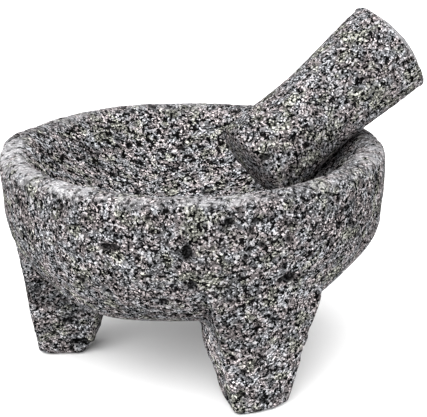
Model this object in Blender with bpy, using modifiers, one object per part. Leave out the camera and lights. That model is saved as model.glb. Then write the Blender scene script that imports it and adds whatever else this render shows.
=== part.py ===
"""Molcajete: a three-legged granite mortar with its pestle leaning in the bowl.

Two solids, each carved from one block of stone:
    mortar   bowl and three tapered legs
    pestle   short waisted rod, resting on the bowl's floor and on the inner edge of the rim

Frame: +Z up, the feet stand on z = 0, the origin is the centre of the pair's bounding box,
at the bottom. The pestle leans towards +X. Units are metres.
"""

from math import asin, cos, degrees, pi, radians, sin, sqrt

import bmesh
import bpy
from mathutils import Matrix, Vector

# ---- driving dimensions -------------------------------------------------------------------

BOWL_X = -0.0112            # the bowl's axis, set back so that the pair is centred on the origin
BOWL_RADIUS = 0.0993        # at the widest height
RIM_HEIGHT = 0.117          # top of the rim above the ground
WIDEST_HEIGHT = 0.100
BELLY_HEIGHT = 0.0385       # underside of the bowl above the ground
BELLY_FLAT_RADIUS = 0.040   # flat middle of the underside
BELLY_FULLNESS = 2.12       # 2 is an ellipse, more is fuller towards the lower corner
RIM_EDGE = 0.0055           # radius of the rim's outer edge
RIM_INNER_RADIUS = 0.0885   # where the flat band of the rim ends inside
RIM_INNER_EDGE = 0.0025     # radius of its inner edge
CAVITY_DEPTH = 0.043        # floor of the bowl below the rim

LEGS = {                    # direction from the bowl's axis in degrees from +X, and reach of the foot
    "right_leg": (32, 0.0845),
    "left_leg": (152, 0.0868),
    "front_leg": (271.5, 0.0820),
}
FOOT_INNER = 0.0640         # distance from the bowl's axis to the sole's inner end
ANKLE_HEIGHT = 0.0075       # the inner face slopes out above the sole up to here
ANKLE_INNER = 0.0555
FOOT_HALF_WIDTH = 0.0146    # at the outer face
KNEE_HEIGHT = 0.045         # where the inner face meets the underside of the bowl
KNEE_INNER = 0.0450
KNEE_HALF_WIDTH = 0.0256
LEG_TOP = 0.084             # where the outer face runs out into the wall
TOP_OUTER = 0.0962
TOP_INNER = 0.0760
TOP_HALF_WIDTH = 0.0340
INNER_WIDTH = 0.78          # width of a leg's inner face, as a share of its outer face
LEG_EASE = 0.0036           # rounding of a leg's long edges
CORNER_STEPS = 3            # facets in each of them
SOLE_EASE = 0.0020          # rounding around the sole

PESTLE_TILT = radians(35.0)   # of its axis above the horizontal
PESTLE_LOW_END = Vector((0.0277, -0.0157, 0.1046))   # centre of the lower end, from the bowl's axis
PESTLE_LENGTH = 0.0968      # between the two end edges
PESTLE_LOW_RADIUS = 0.0246
PESTLE_WAIST_RADIUS = 0.0227
PESTLE_TOP_RADIUS = 0.0261
PESTLE_WAIST_AT = 0.45      # the narrowest place, as a share of the length from the lower end
END_CROWN = 0.0035          # height of the domed ends
END_EASE = 0.0012           # radius of the end edges

BOWL_STEPS = 72
PESTLE_STEPS = 48

GRANITE_GREY = (0.34, 0.33, 0.33, 1.0)
PESTLE_GREY = (0.38, 0.37, 0.37, 1.0)


# ---- helpers ------------------------------------------------------------------------------

def clear_scene():
    for thing in list(bpy.data.objects):
        bpy.data.objects.remove(thing, do_unlink=True)


def new_collection(name):
    collection = bpy.data.collections.new(name)
    bpy.context.scene.collection.children.link(collection)
    return collection


def stone(name, colour):
    material = bpy.data.materials.new(name)
    material.use_nodes = True
    shader = material.node_tree.nodes["Principled BSDF"]
    shader.inputs["Base Color"].default_value = colour
    shader.inputs["Roughness"].default_value = 0.85
    shader.inputs["Metallic"].default_value = 0.0
    return material


def add_object(name, mesh, collection):
    thing = bpy.data.objects.new(name, mesh)
    collection.objects.link(thing)
    return thing


def arc(centre_r, centre_z, semi_r, semi_z, start, end, steps):
    """Points (r, z) on an ellipse arc, angles in degrees anticlockwise from +r."""
    turn = [radians(start + (end - start) * i / steps) for i in range(steps + 1)]
    return [(centre_r + semi_r * cos(t), centre_z + semi_z * sin(t)) for t in turn]


def turned(name, profile, steps, collection):
    """A solid of revolution about Z. The profile is a list of (r, z) from axis to axis."""
    mesh = bpy.data.meshes.new(name)
    points = [(r, 0.0, z) for r, z in profile]
    links = [(i, i + 1) for i in range(len(points) - 1)]
    mesh.from_pydata(points, links, [])
    thing = add_object(name, mesh, collection)
    screw = thing.modifiers.new("turn", "SCREW")
    screw.axis = "Z"
    screw.steps = steps
    screw.render_steps = steps
    screw.use_merge_vertices = True
    screw.merge_threshold = 1e-5
    return thing


def without_doubles(profile, closest=2e-4):
    """The profile with points left out that nearly repeat the one before."""
    kept = [profile[0]]
    for point in profile[1:]:
        if max(abs(point[0] - kept[-1][0]), abs(point[1] - kept[-1][1])) > closest:
            kept.append(point)
    return kept


# ---- mortar -------------------------------------------------------------------------------

def bowl_profile():
    """Cavity floor, up the hollow, over the rim, down the outside, to the flat underside."""
    floor_z = RIM_HEIGHT - CAVITY_DEPTH
    mouth = RIM_INNER_RADIUS - RIM_INNER_EDGE
    cavity_radius = (mouth ** 2 + CAVITY_DEPTH ** 2) / (2 * CAVITY_DEPTH)
    mouth_slope = degrees(asin(mouth / cavity_radius))
    hollow = arc(0.0, floor_z + cavity_radius, cavity_radius, cavity_radius,
                 -90, mouth_slope - 90, 14)
    hollow[-1] = (mouth, RIM_HEIGHT - RIM_INNER_EDGE)
    inner_edge = arc(RIM_INNER_RADIUS, RIM_HEIGHT - RIM_INNER_EDGE, RIM_INNER_EDGE, RIM_INNER_EDGE,
                     180, 90, 3)
    outer_edge = arc(BOWL_RADIUS - RIM_EDGE, RIM_HEIGHT - RIM_EDGE, RIM_EDGE, RIM_EDGE, 90, 0, 5)
    belly = []
    for r, z in arc(0.0, 0.0, 1.0, 1.0, 0, -90, 14):
        fuller_r = abs(r) ** (2 / BELLY_FULLNESS)
        fuller_z = abs(z) ** (2 / BELLY_FULLNESS)
        belly.append((BELLY_FLAT_RADIUS + (BOWL_RADIUS - BELLY_FLAT_RADIUS) * fuller_r,
                      WIDEST_HEIGHT - (WIDEST_HEIGHT - BELLY_HEIGHT) * fuller_z))
    return without_doubles(hollow + inner_edge + outer_edge + belly + [(0.0, BELLY_HEIGHT)])


def leg_sections(foot_reach):
    """Height, outer reach, inner reach, half width and rounding of the leg's cross-sections."""
    lean = (TOP_OUTER - foot_reach) / LEG_TOP
    spread = (KNEE_HALF_WIDTH - FOOT_HALF_WIDTH) / KNEE_HEIGHT

    def below_knee(height, inner):
        return height, foot_reach + lean * height, inner, FOOT_HALF_WIDTH + spread * height, LEG_EASE

    sole = (0.0, foot_reach - SOLE_EASE, FOOT_INNER, FOOT_HALF_WIDTH - SOLE_EASE, LEG_EASE)
    sole_edge = below_knee(SOLE_EASE, FOOT_INNER - 2 * SOLE_EASE)
    ankle = below_knee(ANKLE_HEIGHT, ANKLE_INNER)
    knee = below_knee(KNEE_HEIGHT, KNEE_INNER)
    top = (LEG_TOP, TOP_OUTER, TOP_INNER, TOP_HALF_WIDTH, LEG_EASE)
    return sole, sole_edge, ankle, knee, top


def leg_outline(outer, inner, half_width, ease):
    """Plan of a leg, anticlockwise: the outer side curves with the wall, the corners are round."""
    def on_wall(y):
        return Vector((sqrt(outer ** 2 - y ** 2), y))

    inner_half = INNER_WIDTH * half_width
    corners = [Vector((inner, -inner_half)), on_wall(-half_width),
               on_wall(half_width), Vector((inner, inner_half))]
    outline = []
    for i, corner in enumerate(corners):
        before = corner + (corners[i - 1] - corner).normalized() * ease
        after = corner + (corners[(i + 1) % 4] - corner).normalized() * ease
        for step in range(CORNER_STEPS + 1):
            t = step / CORNER_STEPS
            outline.append(before * (1 - t) ** 2 + corner * 2 * t * (1 - t) + after * t ** 2)
        if i == 1:
            outline += [on_wall(half_width * share) for share in (-0.4, 0.0, 0.4)]
    return outline


def leg_mesh(name, foot_reach):
    """A loft through the leg's cross-sections, closed at the sole and at the top."""
    bm = bmesh.new()
    rings = []
    for height, outer, inner, half_width, ease in leg_sections(foot_reach):
        outline = leg_outline(outer, inner, half_width, ease)
        rings.append([bm.verts.new((point.x, point.y, height)) for point in outline])
    for low, high in zip(rings, rings[1:]):
        for i in range(len(low)):
            bm.faces.new((low[i - 1], low[i], high[i], high[i - 1]))
    bm.faces.new(rings[0][::-1])
    bm.faces.new(rings[-1])
    bmesh.ops.triangulate(bm, faces=bm.faces)
    mesh = bpy.data.meshes.new(name)
    bm.to_mesh(mesh)
    bm.free()
    return mesh


def make_leg(name, angle, foot_reach, collection):
    leg = add_object(name, leg_mesh(name, foot_reach), collection)
    leg.matrix_world = Matrix.Translation((BOWL_X, 0, 0)) @ Matrix.Rotation(radians(angle), 4, "Z")
    leg.hide_render = True
    leg.display_type = "WIRE"
    return leg


def make_mortar(parts, guides):
    mortar = turned("mortar", bowl_profile(), BOWL_STEPS, parts)
    mortar.location.x = BOWL_X
    mortar.data.materials.append(stone("granite", GRANITE_GREY))
    for name, (angle, foot_reach) in LEGS.items():
        union = mortar.modifiers.new(name, "BOOLEAN")
        union.operation = "UNION"
        union.solver = "EXACT"
        union.object = make_leg(name, angle, foot_reach, guides)
    return mortar


# ---- pestle -------------------------------------------------------------------------------

def pestle_radius(share):
    """Radius along the pestle: a waist between two fuller ends, share 0 at the lower end."""
    if share < PESTLE_WAIST_AT:
        end_radius, reach = PESTLE_LOW_RADIUS, (PESTLE_WAIST_AT - share) / PESTLE_WAIST_AT
    else:
        end_radius, reach = PESTLE_TOP_RADIUS, (share - PESTLE_WAIST_AT) / (1 - PESTLE_WAIST_AT)
    swell = (1 - cos(pi * reach)) / 2
    return PESTLE_WAIST_RADIUS + (end_radius - PESTLE_WAIST_RADIUS) * swell


def domed_end(radius, edge_z, outwards):
    """Points from the axis to the side: a shallow crown, then the rounded edge."""
    flat = radius - END_EASE
    rise = outwards * END_CROWN
    crown = [(flat * i / 5, edge_z + rise * (1 - (i / 5) ** 2)) for i in range(5)]
    start = 90 * outwards
    return crown + arc(flat, edge_z - outwards * END_EASE, END_EASE, END_EASE, start, 0, 3)


def pestle_profile():
    """From the top end's centre, down the side, to the lower end's centre."""
    top = domed_end(PESTLE_TOP_RADIUS, PESTLE_LENGTH, 1)
    low = domed_end(PESTLE_LOW_RADIUS, 0.0, -1)
    side = [(pestle_radius(i / 10), PESTLE_LENGTH * i / 10) for i in range(9, 0, -1)]
    return without_doubles(top + side + low[::-1])


def make_pestle(parts):
    pestle = turned("pestle", pestle_profile(), PESTLE_STEPS, parts)
    pestle.location = PESTLE_LOW_END + Vector((BOWL_X, 0, 0))
    pestle.rotation_euler = (0, pi / 2 - PESTLE_TILT, 0)
    pestle.data.materials.append(stone("pestle_granite", PESTLE_GREY))
    return pestle


# ---- build --------------------------------------------------------------------------------

def smooth(thing):
    thing.data.shade_smooth()
    for modifier in thing.modifiers:
        if modifier.type == "SCREW":
            modifier.use_smooth_shade = True


def main():
    clear_scene()
    parts = new_collection("molcajete")
    guides = new_collection("leg_shapes")
    for thing in (make_mortar(parts, guides), make_pestle(parts)):
        smooth(thing)


main()
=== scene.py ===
"""Molcajete: the carved granite of the mortar and its pestle, a plain studio and the camera.

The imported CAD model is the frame. Each of its two nodes is replaced by a finer piece made from
the node's own mesh: rebuilt from small even faces, its creases worn round, then roughened with
the marks of the carving, pits, holes and chips. Units are metres and degrees. A direction is
counted around the bowl's axis from +X towards +Y.
"""

import math

import bmesh
import bpy
import numpy as np
from mathutils import Matrix, Vector, noise


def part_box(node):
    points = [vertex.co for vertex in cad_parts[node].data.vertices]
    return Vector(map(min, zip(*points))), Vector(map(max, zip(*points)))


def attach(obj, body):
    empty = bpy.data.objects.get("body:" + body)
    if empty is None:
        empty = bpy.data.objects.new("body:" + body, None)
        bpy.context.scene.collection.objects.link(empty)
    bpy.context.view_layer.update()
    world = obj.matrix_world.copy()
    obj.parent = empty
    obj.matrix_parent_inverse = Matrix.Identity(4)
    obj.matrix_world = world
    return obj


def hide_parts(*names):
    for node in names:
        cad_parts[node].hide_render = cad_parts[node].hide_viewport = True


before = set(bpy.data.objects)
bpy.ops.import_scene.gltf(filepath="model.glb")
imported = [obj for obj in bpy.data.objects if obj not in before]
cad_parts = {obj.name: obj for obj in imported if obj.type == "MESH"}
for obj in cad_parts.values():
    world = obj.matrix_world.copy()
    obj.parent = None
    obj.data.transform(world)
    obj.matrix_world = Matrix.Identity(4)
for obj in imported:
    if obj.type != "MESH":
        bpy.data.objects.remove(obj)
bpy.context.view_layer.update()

# ---- places worked out from the frame ----------------------------------------------------------

MORTAR_LOW, MORTAR_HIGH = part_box("mortar")
BOWL_RADIUS = (MORTAR_HIGH.y - MORTAR_LOW.y) / 2
BOWL_AXIS = Vector((MORTAR_LOW.x + BOWL_RADIUS, 0.0, 0.0))
RIM_HEIGHT = MORTAR_HIGH.z
PESTLE_TILT = math.radians(35.0)      # of its axis above the horizontal, towards +X, as in the frame
PESTLE_AXIS = np.array((math.cos(PESTLE_TILT), 0.0, math.sin(PESTLE_TILT)))
PESTLE_UP = np.array((-math.sin(PESTLE_TILT), 0.0, math.cos(PESTLE_TILT)))

# ---- stone work --------------------------------------------------------------------------------

MORTAR_GRID = 0.00130                 # size of the faces of each piece
PESTLE_GRID = 0.00062
MORTAR_WEAR = 12                      # rounds of smoothing: the more, the rounder the creases
PESTLE_WEAR = 1
SOLE_HEIGHT = 0.004                   # the feet are worn less below this
SOLE_WEAR = 0.12                      # share of the wear on the soles
EDGES_SPARED = 0.85                   # share of the wear that convex edges are spared
LEGS_END = (0.030, 0.045)             # heights between which the legs' surface becomes the bowl's
RIM_WEAR_REACH = 0.030                # how far down the wall the rim's wear is felt
CRISPNESS = 0.0006                    # how far the edges of the pestle's top are drawn out
LEG_CRISPNESS = 0.00024               # and those of the legs

# Rim height taken off by wear, or left standing where negative: (direction, half width, depth)
RIM_WEAR = (
    (255.0, 55.0, 0.0017),
    (55.0, 36.0, 0.0008),
    (108.0, 48.0, -0.0010),
    (150.0, 24.0, -0.0011),
)

# Where the hand-cut bowl stands out from a true round, or falls short of it:
# (direction, half width, height, half height, how far out)
BULGES = (
    (205.0, 30.0, 0.047, 0.014, 0.0021),
    (250.0, 24.0, 0.040, 0.012, -0.0014),
    (150.0, 18.0, 0.115, 0.009, 0.0012),
    (165.0, 26.0, 0.096, 0.017, -0.0009),
    (160.0, 30.0, 0.070, 0.018, 0.0006),
    (326.0, 24.0, 0.073, 0.015, 0.0018),
    (324.0, 18.0, 0.052, 0.012, -0.0019),
    (298.0, 15.0, 0.044, 0.018, 0.0010),
    (20.0, 35.0, 0.060, 0.020, 0.0012),
    (95.0, 30.0, 0.085, 0.024, -0.0008),
)

# Pale bruises along the rim, and a painted highlight along the front rim's edge: (direction, half
# width, strength)
RIM_BRUISES_AND_HIGHLIGHT = (
    (168.0, 19.0, 0.95),
    (190.0, 13.0, 0.80),
    (211.0, 11.0, 1.00),
    # painted highlight: these two make a thin pale line along the front rim's edge
    (231.0, 12.0, 0.50),
    (254.0, 17.0, 0.80),
    (286.0, 12.0, 0.40),
    (322.0, 20.0, 0.60),
    (20.0, 14.0, 0.50),
    (75.0, 22.0, 0.35),
    (118.0, 12.0, 0.55),
)

# Parts of the mortar painted paler, and darker where negative; some are painted shade and painted
# light, marked below: (place, radius, how much)
STAINS_AND_PAINTED_LIGHT = (
    ((-0.010, -0.085, 0.025), 0.040, 0.10),
    # painted shade on the left leg, under the bowl, and on the belly low down between the legs
    ((-0.075, 0.020, 0.015), 0.050, -0.12),
    ((-0.045, -0.060, 0.040), 0.050, -0.22),
    ((-0.050, 0.058, 0.098), 0.015, -0.45),
    ((-0.040, -0.098, 0.085), 0.050, -0.10),
    # painted shadow of the pestle, on the bowl's inside under it
    ((0.050, -0.030, 0.098), 0.022, -0.28),
    ((0.064, -0.028, 0.109), 0.018, -0.28),
    # painted light on the left facet of the front leg
    ((-0.031, -0.070, 0.030), 0.017, 0.65),
    ((-0.0285, -0.0755, 0.0180), 0.013, 0.45),
    ((-0.0345, -0.0650, 0.0410), 0.013, 0.35),
    # painted shade on the top of the left leg, under the belly
    ((-0.0888, 0.0161, 0.0400), 0.018, -0.30),
    ((-0.0740, 0.0130, 0.0290), 0.016, -0.30),
    ((-0.0866, -0.0340, 0.0547), 0.020, 0.12),
    ((-0.0850, 0.0100, 0.1080), 0.032, 0.22),
)

# Parts of the mortar that stand a little off their plain shape: (place, radius, shift)
NUDGES = (
    ((-0.029, -0.060, 0.031), 0.022, (-0.0018, 0.0018, 0.0)),
    ((0.022, -0.080, 0.055), 0.018, (0.0022, -0.0008, 0.0)),
    ((0.018, -0.076, 0.028), 0.024, (0.0009, 0.0, 0.0)),
    ((-0.0280, -0.0780, 0.0150), 0.018, (0.0012, 0.0, 0.0)),
)

# The rim's flat band and the hollow, which start and are full at these distances in from the wall
BAND_EDGE = 0.002           # width of the band's rounded outer edge
BAND_FADE = (0.017, 0.010)
CAVITY_FADE = (0.014, 0.010)
CAVITY_LOW = RIM_HEIGHT - 0.047   # just below the hollow's floor

# The top of the pestle isn't cut quite square: it falls away forwards and upwards
TOP_REACH = (0.014, 0.003)  # how far below its highest point that starts and is full
FORWARD_SLANT = 0.085
UPWARD_SLANT = 0.032
TOP_GROWTH = 0.0007         # how much longer than the plain shape
TOP_DOME = 0.0040           # and how much rounder

# Unevenness of the faces, from carving down to grain: (depth, size, seed of its noise)
MORTAR_LAYERS = (
    (0.00045, 0.030, 1),
    (0.00028, 0.011, 2),
    (0.00020, 0.0045, 3),
    (0.00014, 0.0025, 4),
)
PESTLE_LAYERS = (
    (0.00030, 0.022, 11),
    (0.00016, 0.008, 12),
    (0.00012, 0.0035, 13),
    (0.00010, 0.0018, 14),
)

# Small round pits, one in a share of the cells `spacing` apart
MORTAR_PITS = {"depth": 0.0009, "spacing": 0.0062, "share": 0.30, "seed": 5}
PESTLE_PITS = {"depth": 0.0007, "spacing": 0.0058, "share": 0.26, "seed": 15}

# Chips off the edges, from a first to a full sharpness of edge
MORTAR_CHIPS = {"depth": 0.0007, "size": 0.0075, "sharpness": (0.15, 0.7), "seed": 6}
PESTLE_CHIPS = {"depth": 0.0006, "size": 0.006, "sharpness": (0.2, 0.8), "seed": 16}

HOLLOW_DARK = 0.0007        # depth at which the painted shade in a pit or hole is at its darkest
# painted shade in the mortar's hollow creases
CREASE_SHADE = 0.35
TOP_WEAR_AND_LIGHT = 0.75         # paleness of the pestle's end: bruised stone, and painted light on its end face
LEGS_PECKED = 0.7           # how coarsely the legs are pecked, as a share of the bowl's inside
HOLE_EDGE = 1.25            # size of a hole's outline, in half widths squared
HOLE_RAGGEDNESS = 0.35

# The largest holes in the outer wall and legs: (direction, height, half width, half height, depth)
WALL_HOLES = (
    (275.3, 0.0728, 0.0056, 0.0021, 0.0024),
    (246.5, 0.0920, 0.0024, 0.0044, 0.0024),
    (226.0, 0.0930, 0.0052, 0.0020, 0.0020),
    (257.5, 0.1060, 0.0030, 0.0022, 0.0012),
    (265.0, 0.1055, 0.0032, 0.0016, 0.0012),
    (238.8, 0.0649, 0.0026, 0.0018, 0.0013),
    (247.0, 0.0744, 0.0022, 0.0026, 0.0012),
    (291.8, 0.0950, 0.0020, 0.0016, 0.0012),
    (213.4, 0.0720, 0.0030, 0.0022, 0.0013),
    (318.0, 0.0860, 0.0030, 0.0018, 0.0014),
    (12.0, 0.0900, 0.0036, 0.0020, 0.0016),
    (58.0, 0.0780, 0.0028, 0.0030, 0.0016),
    (96.0, 0.0950, 0.0040, 0.0018, 0.0016),
    (128.0, 0.0700, 0.0024, 0.0028, 0.0014),
    (174.0, 0.0880, 0.0034, 0.0018, 0.0014),
)

# Holes elsewhere: (place, half width, half height, depth)
FOOT_HOLES = (
    ((-0.0725, 0.0172, 0.0085), 0.0050, 0.0022, 0.0024),
    ((-0.0790, 0.0120, 0.0200), 0.0024, 0.0020, 0.0012),
)
PESTLE_HOLES = (
    ((0.0128, -0.0378, 0.1154), 0.0030, 0.0018, 0.0016),
    ((0.0350, -0.0391, 0.1188), 0.0017, 0.0020, 0.0014),
    ((0.0240, -0.0385, 0.1230), 0.0016, 0.0013, 0.0010),
)


def mesh_array(items, attribute, width, kind=np.float64):
    """One property of a mesh's vertices or edges as an array with `width` columns."""
    values = np.empty(len(items) * width, kind)
    items.foreach_get(attribute, values)
    return values.reshape(-1, width)


def even_copy(name, node, grid):
    """A new object with the node's shape, one closed skin of faces about `grid` across."""
    source = node.data.copy()
    bm = bmesh.new()
    bm.from_mesh(source)
    bmesh.ops.remove_doubles(bm, verts=bm.verts, dist=1e-6)
    bm.to_mesh(source)
    bm.free()
    piece = bpy.data.objects.new(name, source)
    bpy.context.scene.collection.objects.link(piece)
    remesh = piece.modifiers.new("even_faces", "REMESH")
    remesh.mode = "VOXEL"
    remesh.voxel_size = grid
    remesh.adaptivity = 0.0
    even = bpy.data.meshes.new_from_object(piece.evaluated_get(bpy.context.evaluated_depsgraph_get()))
    piece.modifiers.clear()
    piece.data = even
    even.name = name
    even.materials.clear()
    bpy.data.meshes.remove(source)
    return piece


class Skin:
    """A piece's surface as arrays, so that all its points move in one step."""

    def __init__(self, piece):
        self.mesh = piece.data
        self.points = mesh_array(self.mesh.vertices, "co", 3)
        self.edges = mesh_array(self.mesh.edges, "vertices", 2, np.int32)
        self.neighbours = np.bincount(self.edges.ravel(), minlength=len(self.points))

    def mean_of_neighbours(self, values):
        """For each point, the mean of an (n, k) array over the points joined to it."""
        start, end = self.edges.T
        total = np.empty_like(values)
        for column in range(values.shape[1]):
            total[:, column] = (
                np.bincount(start, values[end, column], len(values))
                + np.bincount(end, values[start, column], len(values))
            )
        return total / self.neighbours[:, None]

    def blurred(self, values, rounds):
        """A value per point, evened out over its surroundings."""
        column = values[:, None]
        for _ in range(rounds):
            column = (column + self.mean_of_neighbours(column)) / 2
        return column[:, 0]

    def wear(self, rounds, share):
        """Rounds creases and edges, each point by its own share from 0 to 1."""
        for _ in range(rounds):
            self.points += share[:, None] * 0.5 * (self.mean_of_neighbours(self.points) - self.points)
        self.write()

    def write(self):
        """Puts the points back in the mesh."""
        self.mesh.vertices.foreach_set("co", self.points.ravel())
        self.mesh.update()

    def normals(self):
        """The direction that the surface faces at each point."""
        return mesh_array(self.mesh.vertices, "normal", 3)

    def edge_sharpness(self):
        """1 on the convex edges, 0 on open faces, -1 in the hollow creases."""
        inwards = self.mean_of_neighbours(self.points) - self.points
        bend = self.blurred(-(inwards * self.normals()).sum(1), 8)
        return np.clip(bend / np.percentile(np.abs(bend), 98), -1.0, 1.0)

    def draw_out(self, distance):
        """Makes the convex edges crisper, each point by its own distance."""
        corner = smoothstep(0.25, 0.9, self.edge_sharpness())
        self.points += (distance * corner)[:, None] * self.normals()
        self.write()

    def keep(self, name, values):
        """Stores a value per point, for the material to read."""
        attribute = self.mesh.attributes.new(name, "FLOAT", "POINT")
        attribute.data.foreach_set("value", values.astype(np.float32))


# ---- patterns on the stone ---------------------------------------------------------------------

def smoothstep(low, high, values):
    """Runs smoothly from 0 to 1 as the values go from low to high."""
    t = np.clip((values - low) / (high - low), 0.0, 1.0)
    return t * t * (3.0 - 2.0 * t)


def waves(points, size, seed):
    """Smooth noise at each point, about -1 to 1, with features `size` across."""
    shift = Vector((seed * 17.3, seed * 5.1, seed * 9.7))
    return np.array([noise.noise(Vector(point) / size + shift) for point in points])


def unevenness(points, layers):
    """Height of each point above the smooth stone."""
    return sum(depth * waves(points, size, seed) for depth, size, seed in layers)


def scattered_pits(points, depth, spacing, share, seed):
    """Depth at each point of round pits: one in a share of the cells `spacing` apart."""
    shift = Vector((seed * 3.7, seed * 11.9, seed * 7.3))
    fall = np.zeros(len(points))
    for i, point in enumerate(points):
        distances, centres = noise.voronoi(Vector(point) / spacing + shift)
        luck = (centres[0].x * 12.9898 + centres[0].y * 78.233 + centres[0].z * 37.719) % 1.0
        if luck < share:
            reach = 0.22 + 0.9 * luck
            fall[i] = max(0.0, 1.0 - (distances[0] / reach) ** 2)
    return depth * fall


def edge_chips(points, edges, depth, size, sharpness, seed):
    """Depth at each point of the chips off the edges."""
    return depth * smoothstep(*sharpness, edges) * smoothstep(0.10, 0.50, waves(points, size, seed))


def from_axis(points):
    """Direction in degrees, 0 to 360 from +X, and distance of each point from the bowl's axis."""
    x = points[:, 0] - BOWL_AXIS.x
    y = points[:, 1] - BOWL_AXIS.y
    return np.degrees(np.arctan2(y, x)) % 360.0, np.hypot(x, y)


def angle_between(direction, other):
    """Degrees from 0 to 180 between two directions."""
    return np.abs((direction - other + 180.0) % 360.0 - 180.0)


def bump_at(values, centre, half_width):
    """1 at the centre, fading to 0 half_width away."""
    return 1.0 - smoothstep(0.0, half_width, np.abs(values - centre))


def swell(points):
    """How far the bowl's surface stands out from a true round at each point."""
    direction, reach = from_axis(points)
    out = np.zeros(len(points))
    for angle, half_width, height, half_height, amount in BULGES:
        around = 1.0 - smoothstep(0.0, half_width, angle_between(direction, angle))
        out += amount * around * bump_at(points[:, 2], height, half_height)
    return out * smoothstep(0.030, 0.060, reach)


def nudged(points):
    """How far each point moves with the nudged parts."""
    shift = np.zeros_like(points)
    for place, radius, amount in NUDGES:
        distance = np.linalg.norm(points - np.array(place), axis=1)
        shift += (1.0 - smoothstep(0.0, radius, distance))[:, None] * np.array(amount)
    return shift


def bruises_and_highlight(points):
    """How pale each point is painted, 0 to 1, for bruises and a painted highlight along the front:
    only the rim's flat band and its edge are painted.
    """
    direction, reach = from_axis(points)
    strength = np.full(len(points), 0.20)
    for angle, half_width, amount in RIM_BRUISES_AND_HIGHLIGHT:
        around = 1.0 - smoothstep(0.4 * half_width, half_width, angle_between(direction, angle))
        strength = np.maximum(strength, amount * around)
    on_band = smoothstep(BOWL_RADIUS - BAND_FADE[0], BOWL_RADIUS - BAND_FADE[1], reach)
    lowest = RIM_HEIGHT - np.where(reach > BOWL_RADIUS - BAND_EDGE, 0.0035, 0.0065)
    return strength * on_band * smoothstep(lowest - 0.002, lowest + 0.002, points[:, 2])


def facing_out(points, normals):
    """1 where the surface faces straight away from the bowl's axis, -1 where it faces the axis."""
    _, reach = from_axis(points)
    return (normals[:, :2] * (points[:, :2] - BOWL_AXIS.xy)).sum(1) / np.maximum(reach, 1e-6)


def inside_bowl(points, normals):
    """1 in the cavity, fading out at the rim."""
    _, reach = from_axis(points)
    within = 1.0 - smoothstep(BOWL_RADIUS - CAVITY_FADE[0], BOWL_RADIUS - CAVITY_FADE[1], reach)
    return within * (points[:, 2] > CAVITY_LOW) * (facing_out(points, normals) < 0.3)


def stains_and_painted_light(points):
    """How much paler or darker than the rest of the stone each point is painted, painted shade and
    painted light included.
    """
    out = np.zeros(len(points))
    for place, radius, amount in STAINS_AND_PAINTED_LIGHT:
        distance = np.linalg.norm(points - np.array(place), axis=1)
        out += amount * (1.0 - smoothstep(0.3 * radius, radius, distance))
    return out


def wall_holes(points, normals):
    """Depth of the wall's largest holes at each point."""
    direction, reach = from_axis(points)
    outwards = facing_out(points, normals)
    depth = np.zeros(len(points))
    ragged = HOLE_RAGGEDNESS * waves(points, 0.0022, 21)
    for angle, height, half_width, half_height, deep in WALL_HOLES:
        across = np.radians((direction - angle + 180.0) % 360.0 - 180.0) * reach / half_width
        along = (points[:, 2] - height) / half_height
        hole = np.clip(HOLE_EDGE - across ** 2 - along ** 2 + ragged, 0.0, 1.0) * deep
        depth = np.maximum(depth, np.where(outwards > 0.3, hole, 0.0))
    return depth


def holes_at(points, holes):
    """Depth at each point of holes given by their places."""
    depth = np.zeros(len(points))
    ragged = HOLE_RAGGEDNESS * waves(points, 0.0020, 22)
    for place, half_width, half_height, deep in holes:
        away = points - np.array(place)
        far = (away[:, 0] ** 2 + away[:, 1] ** 2) / half_width ** 2 + (away[:, 2] / half_height) ** 2
        depth = np.maximum(depth, np.clip(HOLE_EDGE - far + ragged, 0.0, 1.0) * deep)
    return depth


# ---- the two stones ----------------------------------------------------------------------------

def shape_mortar(skin):
    """Wears the mortar's creases and rim, and makes it as uneven as a bowl cut by hand."""
    above_sole = smoothstep(0.0, SOLE_HEIGHT, skin.points[:, 2])
    convex = smoothstep(0.0, 0.6, skin.blurred(skin.edge_sharpness(), 12))
    share = SOLE_WEAR + (1.0 - SOLE_WEAR) * above_sole
    skin.wear(MORTAR_WEAR, share * (1.0 - EDGES_SPARED * convex))

    direction, _ = from_axis(skin.points)
    near_rim = smoothstep(RIM_HEIGHT - RIM_WEAR_REACH, RIM_HEIGHT, skin.points[:, 2])
    for angle, half_width, depth in RIM_WEAR:
        swing = 1.0 - smoothstep(0.0, half_width, angle_between(direction, angle))
        skin.points[:, 2] -= depth * swing * near_rim
    skin.write()
    skin.points += skin.normals() * swell(skin.points)[:, None] + nudged(skin.points)
    skin.write()


def make_mortar():
    """The finished mortar, with what its material reads: worn_and_lit, tone_and_painted_light, pecked
    and hollow.
    """
    piece = even_copy("mortar_stone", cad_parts["mortar"], MORTAR_GRID)
    skin = Skin(piece)
    shape_mortar(skin)
    on_legs = 1.0 - smoothstep(*LEGS_END, skin.points[:, 2])
    skin.draw_out(LEG_CRISPNESS * on_legs)

    edges = skin.edge_sharpness()
    normals = skin.normals()
    points = skin.points
    pits = scattered_pits(points, **MORTAR_PITS)
    chips = edge_chips(points, edges, **MORTAR_CHIPS)
    holes = np.maximum(wall_holes(points, normals), holes_at(points, FOOT_HOLES))
    relief = unevenness(points, MORTAR_LAYERS) - pits - chips - holes
    skin.points += normals * relief[:, None]
    skin.points[:, 2] = np.maximum(skin.points[:, 2], 0.0)
    skin.write()

    # painted shade: the hollow creases on the outside are darkened
    creases = smoothstep(0.15, 0.9, -edges) * (facing_out(points, normals) > -0.3)
    # pale bruises on the rim, with a painted highlight along its front edge
    skin.keep("worn_and_lit", bruises_and_highlight(points))
    skin.keep("tone_and_painted_light", stains_and_painted_light(points) - CREASE_SHADE * creases)
    skin.keep("pecked", np.maximum(inside_bowl(points, normals), LEGS_PECKED * on_legs))
    # painted shade in the pits and holes, the deeper the darker
    skin.keep("hollow", np.clip((pits + holes) / HOLLOW_DARK, 0.0, 1.0))
    return piece


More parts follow.
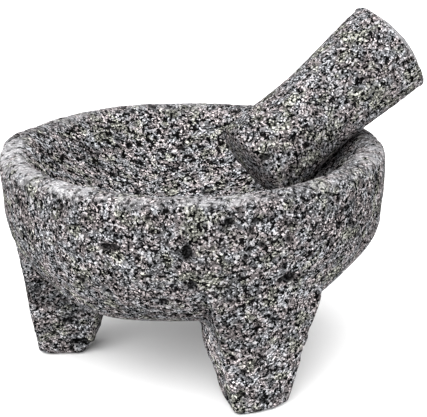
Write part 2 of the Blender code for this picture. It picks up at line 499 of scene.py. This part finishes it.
def shape_top(skin):
    """Gives the pestle's top its dome and slants, and crisp edges."""
    middle = skin.points.mean(0)
    along = (skin.points - middle) @ PESTLE_AXIS
    near_top = smoothstep(along.max() - TOP_REACH[0], along.max() - TOP_REACH[1], along)
    forward = middle[1] - skin.points[:, 1]
    upward = (skin.points - middle) @ PESTLE_UP
    from_line = np.hypot(forward, upward)
    dome = TOP_DOME * (1.0 - (from_line / from_line[near_top > 0.5].max()) ** 2)
    shift = (TOP_GROWTH + dome - FORWARD_SLANT * forward - UPWARD_SLANT * upward) * near_top
    skin.points += shift[:, None] * PESTLE_AXIS
    skin.write()
    skin.draw_out(CRISPNESS * near_top)


def make_pestle():
    """The finished pestle, with what its material reads: worn_and_lit and hollow."""
    piece = even_copy("pestle_stone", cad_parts["pestle"], PESTLE_GRID)
    skin = Skin(piece)
    skin.wear(PESTLE_WEAR, np.full(len(skin.points), 1.0))
    shape_top(skin)

    edges = skin.edge_sharpness()
    normals = skin.normals()
    points = skin.points
    pits = np.maximum(scattered_pits(points, **PESTLE_PITS), holes_at(points, PESTLE_HOLES))
    chips = edge_chips(points, edges, **PESTLE_CHIPS)
    relief = unevenness(points, PESTLE_LAYERS) - pits - chips
    skin.points += normals * relief[:, None]
    skin.write()

    # painted light: the pestle's end face, found by the way it faces, is painted pale, as bruised
    # stone and as lit
    on_top = smoothstep(0.45, 0.80, normals @ PESTLE_AXIS)
    skin.keep("worn_and_lit", TOP_WEAR_AND_LIGHT * on_top)
    # painted shade in the pits, the deeper the darker
    skin.keep("hollow", np.clip(pits / HOLLOW_DARK, 0.0, 1.0))
    return piece


# ---- granite -----------------------------------------------------------------------------------

class Nodes:
    """Short ways to add and join a material's nodes."""

    def __init__(self, name):
        self.material = bpy.data.materials.new(name)
        self.material.use_nodes = True
        self.tree = self.material.node_tree
        self.shader = self.tree.nodes["Principled BSDF"]

    def put(self, socket, value):
        """Joins another node's output to an input, or sets the input to a plain value."""
        if isinstance(value, bpy.types.NodeSocket):
            self.tree.links.new(value, socket)
        else:
            socket.default_value = value

    def add(self, kind, inputs=(), **settings):
        """A new node with its settings, and with its inputs set or joined."""
        node = self.tree.nodes.new(kind)
        for setting, value in settings.items():
            setattr(node, setting, value)
        for socket, value in dict(inputs).items():
            self.put(node.inputs[socket], value)
        return node

    def math(self, operation, *values):
        """A sum, product or comparison of numbers."""
        node = self.add("ShaderNodeMath", operation=operation)
        for socket, value in zip(node.inputs, values):
            self.put(socket, value)
        return node.outputs[0]

    def stone_place(self, seed):
        """Place in the stone: the object's own coordinates, moved so that no two stones repeat."""
        place = self.add("ShaderNodeTexCoord").outputs["Object"]
        moved = self.add("ShaderNodeVectorMath", {0: place, 1: (seed, 0.37 * seed, 0.71 * seed)})
        return moved.outputs[0]

    def kept(self, name):
        """A value that the piece keeps at each of its points."""
        return self.add("ShaderNodeAttribute", attribute_name=name).outputs["Fac"]

    def cloud(self, place, size, detail=2.0, output=0):
        """Soft noise, 0 to 1, with features `size` across."""
        inputs = {"Vector": place, "Scale": 1.0 / size, "Detail": detail}
        return self.add("ShaderNodeTexNoise", inputs).outputs[output]

    def crystals(self, place, size):
        """Three independent random numbers for each crystal, `size` across."""
        cells = self.add("ShaderNodeTexVoronoi", {"Vector": place, "Scale": 1.0 / size})
        return self.add("ShaderNodeSeparateColor", {0: cells.outputs["Color"]}).outputs

    def step(self, value, low, high, to_low=0.0, to_high=1.0):
        """Runs smoothly from to_low to to_high as value goes from low to high."""
        inputs = {"Value": value, "From Min": low, "From Max": high}
        inputs.update({"To Min": to_low, "To Max": to_high})
        return self.add("ShaderNodeMapRange", inputs, interpolation_type="SMOOTHSTEP").outputs[0]

    def ramp(self, value, stops):
        """A grey for each value, running straight from stop to stop."""
        node = self.add("ShaderNodeValToRGB", {0: value})
        elements = node.color_ramp.elements
        for position, _ in stops[1:-1]:
            elements.new(position)
        for element, (_, grey) in zip(elements, stops):
            element.color = (grey, grey, grey, 1.0)
        return node.outputs[0]

    def mix(self, share, first, second, blend="MIX"):
        """The first colour, with a share of the second blended in."""
        node = self.add("ShaderNodeMix", data_type="RGBA", blend_type=blend)
        for socket, value in ((0, share), (6, first), (7, second)):
            self.put(node.inputs[socket], value)
        return node.outputs[2]


FINE_CRYSTAL = 0.00069      # sizes of the mineral grains
LARGE_CRYSTAL = 0.00106
JITTER_SIZE = 0.0009        # their outlines are bent by waves of this size
JITTER = 0.0008             # and this height
BUMP_HEIGHT = 0.00028       # how high the grain stands

# wavelengths of the patterns
SMALL_SPECK = 0.00178       # black mica specks
LARGE_SPECK = 0.0032
PECKED_SPECK = 0.0031       # those inside the bowl and on the legs
FLECK = 0.0021              # white feldspar flecks
DRIFT = 0.0030              # drifts of large crystals
PATCH = 0.009               # lighter and darker patches
ZONE = 0.035
DUST = 0.0006
TINT_PATCH = 0.0070
MOSS_PATCH = 0.0102
STREAK = 0.0040             # streaks in the bruises
GRIT = 0.0007               # roughness between the crystals

CRYSTAL_GREYS = (           # (share of the crystals that are darker, how light they are)
    (0.00, 0.001),
    (0.13, 0.004),
    (0.26, 0.036),
    (0.50, 0.086),
    (0.74, 0.150),
    (0.90, 0.320),
    (1.00, 0.520),
)
MICA = (0.001, 0.001, 0.0011, 1.0)
FELDSPAR = (0.42, 0.41, 0.42, 1.0)
# the pale of bruised stone, used for painted light and painted highlight too
BRUISE_AND_LIGHT = (0.24, 0.235, 0.245, 1.0)
# colour of the painted shade in pits and holes
PIT_SHADE = (0.002, 0.002, 0.002, 1.0)
PECKED_TONE = 1.44          # the pecked surfaces are paler between the specks
MICA_LOST_TO_WEAR_AND_LIGHT = 0.62         # how much of a speck is lost where bruises and painted light are full
ROSE = (1.10, 0.98, 0.99, 1.0)
SLATE = (0.97, 0.99, 1.05, 1.0)
MOSS = (1.02, 1.02, 0.90, 1.0)


def mosaic(n, place, bent, fine):
    """Pale, grey and black crystals, fine ones with drifts of large ones."""
    large = n.crystals(bent, LARGE_CRYSTAL)
    in_drift = n.math("GREATER_THAN", n.cloud(place, DRIFT, 1.0), 0.53)
    return n.mix(in_drift, n.ramp(fine[0], CRYSTAL_GREYS), n.ramp(large[0], CRYSTAL_GREYS))


def shading(n, place, pecked, lightness):
    """Light and dark patches, some millimetres and some centimetres across, and fine dust."""
    patches = n.step(n.cloud(place, PATCH), 0.2, 0.8, 0.74, 1.28)
    zones = n.step(n.cloud(place, ZONE, 1.0), 0.2, 0.8, 0.90, 1.10)
    dust = n.step(n.cloud(place, DUST, 1.0), 0.2, 0.8, 0.6 * lightness, 1.4 * lightness)
    shade = n.math("MULTIPLY", n.math("MULTIPLY", patches, zones), dust)
    return n.math("MULTIPLY", shade, n.step(pecked, 0.0, 1.0, 1.0, PECKED_TONE))


def tints(n, place):
    """Faint colour: rose and slate patches, and mossy ones over them."""
    tint = n.mix(n.step(n.cloud(place, TINT_PATCH), 0.38, 0.62), ROSE, SLATE)
    return n.mix(n.step(n.cloud(place, MOSS_PATCH), 0.52, 0.66), tint, MOSS)


def mica_specks(n, bent, pecked):
    """1 in the black specks, which are larger where the stone is pecked."""
    small = n.step(n.cloud(bent, SMALL_SPECK, 1.0), 0.402, 0.422, 1.0, 0.0)
    large = n.step(n.cloud(bent, LARGE_SPECK, 2.0), 0.332, 0.352, 1.0, 0.0)
    coarse = n.step(n.cloud(bent, PECKED_SPECK, 1.0), 0.395, 0.415, 1.0, 0.0)
    return n.math("MAXIMUM", n.math("MAXIMUM", small, large), n.math("MULTIPLY", coarse, pecked))


def granite(name, seed, lightness):
    """Grey granite: crystals, white feldspar and black mica, paled by bruises and painted light, and
    darkened by patches and painted shade.
    """
    n = Nodes(name)
    worn_and_lit, tone_and_painted_light, pecked, hollow = (n.kept(value) for value in ("worn_and_lit", "tone_and_painted_light", "pecked", "hollow"))
    place = n.stone_place(seed)
    jitter = n.cloud(place, JITTER_SIZE, 1.0, output="Color")
    nudge = n.add("ShaderNodeVectorMath", {0: jitter, 3: JITTER}, operation="SCALE").outputs[0]
    bent = n.add("ShaderNodeVectorMath", {0: place, 1: nudge}).outputs[0]

    fine = n.crystals(bent, FINE_CRYSTAL)
    stone = n.mix(1.0, mosaic(n, place, bent, fine), shading(n, place, pecked, lightness), "MULTIPLY")
    stone = n.mix(1.0, stone, tints(n, place), "MULTIPLY")
    feldspar = n.step(n.cloud(bent, FLECK, 1.0), 0.640, 0.670)
    stone = n.mix(n.math("MULTIPLY", feldspar, 0.8), stone, FELDSPAR)

    # the bruises, and the painted light and painted highlight that share them, come in streaks that
    # leave some of the grain showing
    streaks = n.step(n.cloud(place, STREAK, 4.0), 0.40, 0.54, 0.15, 1.0)
    bruise_and_light = n.math("MINIMUM", n.math("MULTIPLY", worn_and_lit, streaks), 1.0)
    crushed_and_lit = n.mix(0.95, BRUISE_AND_LIGHT, n.ramp(fine[1], CRYSTAL_GREYS), "SCREEN")
    # paled by bruises, by painted light on the pestle's end and by a painted highlight on the rim
    stone = n.mix(bruise_and_light, stone, crushed_and_lit)

    mica = mica_specks(n, bent, pecked)
    shown = n.math("SUBTRACT", 0.98, n.math("MULTIPLY", bruise_and_light, MICA_LOST_TO_WEAR_AND_LIGHT))
    stone = n.mix(n.math("MULTIPLY", mica, shown), stone, MICA)
    # paler and darker patches, with painted shade and painted light among them
    stone = n.mix(1.0, stone, n.math("ADD", tone_and_painted_light, 1.0), "MULTIPLY")
    # painted shade: pits and holes darkened towards black by their depth
    stone = n.mix(n.math("MULTIPLY", hollow, 0.92), stone, PIT_SHADE)
    n.put(n.shader.inputs["Base Color"], stone)

    # the stone is matt, mica a little less, and mica lies deeper than the pale crystals
    n.put(n.shader.inputs["Roughness"], n.step(mica, 0.0, 1.0, 0.90, 0.65))
    n.shader.inputs["Specular IOR Level"].default_value = 0.0
    height = n.math("ADD", fine[2], n.cloud(place, GRIT, 1.0))
    height = n.math("SUBTRACT", height, mica)
    bump = n.add("ShaderNodeBump", {"Height": height, "Distance": BUMP_HEIGHT, "Strength": 0.8})
    n.put(n.shader.inputs["Normal"], bump.outputs[0])
    return n.material


# ---- studio ------------------------------------------------------------------------------------

FLOOR_SIZE = 6.0
FLOOR_WHITE = (0.90, 0.90, 0.90, 1.0)
FLOOR_GAP = 0.0003          # between the feet and the floor
SKY_STRENGTH = 1.0
LAMPS = (                   # (name, direction of its light, degrees across, strength)
    ("key", (0.62, 0.62, -0.75), 45.0, 2.5),
    ("top", (0.15, 0.30, -1.0), 100.0, 2.9),
)


def plain_material(name, colour, roughness):
    """A material of one colour."""
    n = Nodes(name)
    n.shader.inputs["Base Color"].default_value = colour
    n.shader.inputs["Roughness"].default_value = roughness
    return n.material


def make_floor():
    """A wide pale floor just under the feet."""
    mesh = bpy.data.meshes.new("floor")
    bm = bmesh.new()
    bmesh.ops.create_grid(bm, x_segments=1, y_segments=1, size=FLOOR_SIZE / 2)
    bm.to_mesh(mesh)
    bm.free()
    floor = bpy.data.objects.new("floor", mesh)
    floor.location.z = MORTAR_LOW.z - FLOOR_GAP
    bpy.context.scene.collection.objects.link(floor)
    mesh.materials.append(plain_material("paper", FLOOR_WHITE, 0.9))


def make_sky():
    """Even white light from all around."""
    world = bpy.data.worlds.new("studio")
    world.use_nodes = True
    background = world.node_tree.nodes["Background"]
    background.inputs["Color"].default_value = (1.0, 1.0, 1.0, 1.0)
    background.inputs["Strength"].default_value = SKY_STRENGTH
    bpy.context.scene.world = world


def soft_lamp(name, direction, spread, strength):
    """A distant soft lamp, `spread` degrees across, whose light goes along `direction`."""
    lamp = bpy.data.lights.new(name, "SUN")
    lamp.angle = math.radians(spread)
    lamp.energy = strength
    thing = bpy.data.objects.new(name, lamp)
    thing.rotation_euler = Vector(direction).to_track_quat("-Z", "Y").to_euler()
    bpy.context.scene.collection.objects.link(thing)


# ---- camera ------------------------------------------------------------------------------------

LENS = 95.52                # mm, on a sensor 36 mm wide
CAMERA_DISTANCE = 0.5896    # from the middle of the rim
CAMERA_TURN = -21.5         # degrees round the bowl from straight ahead
CAMERA_RISE = 14.72         # degrees above the rim
PAN = -1.056                # degrees from aiming at the bowl's axis
PITCH = -18.093             # degrees, of the line of sight below the horizontal
ROLL = -1.027               # degrees about the line of sight


def make_camera():
    """The camera, set beside the bowl, aimed at its axis, then panned, pitched and rolled."""
    turn = Matrix.Rotation(math.radians(CAMERA_TURN), 4, "Z")
    rise = math.radians(CAMERA_RISE)
    back = Vector((0.0, -math.cos(rise), math.sin(rise))) * CAMERA_DISTANCE
    place = BOWL_AXIS + Vector((0.0, 0.0, RIM_HEIGHT)) + turn @ back
    heading = Matrix.Rotation(math.radians(CAMERA_TURN + PAN), 4, "Z")
    pitch = Matrix.Rotation(math.radians(90.0 + PITCH), 4, "X")
    roll = Matrix.Rotation(math.radians(ROLL), 4, "Z")
    data = bpy.data.cameras.new("camera")
    data.sensor_fit = "HORIZONTAL"
    data.sensor_width = 36.0
    data.lens = LENS
    data.clip_start = 0.01
    camera = bpy.data.objects.new("camera", data)
    bpy.context.scene.collection.objects.link(camera)
    camera.matrix_world = Matrix.Translation(place) @ heading @ pitch @ roll
    bpy.context.scene.camera = camera


# ---- putting it together -----------------------------------------------------------------------

def settle(piece, node, body, material):
    """Finishes a stone and puts it in its node's place."""
    piece.data.materials.append(material)
    piece.data.shade_smooth()
    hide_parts(node)
    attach(piece, body)


make_camera()
make_sky()
make_floor()
for lamp_name, shine, across, strength in LAMPS:
    soft_lamp(lamp_name, shine, across, strength)

mortar_stone = granite("granite_mortar", seed=3.1, lightness=1.0)
settle(make_mortar(), "mortar", "mortar", mortar_stone)
pestle_stone = granite("granite_pestle", seed=7.7, lightness=1.17)
settle(make_pestle(), "pestle", "pestle", pestle_stone)

scene = bpy.context.scene
scene.view_settings.view_transform = "Standard"
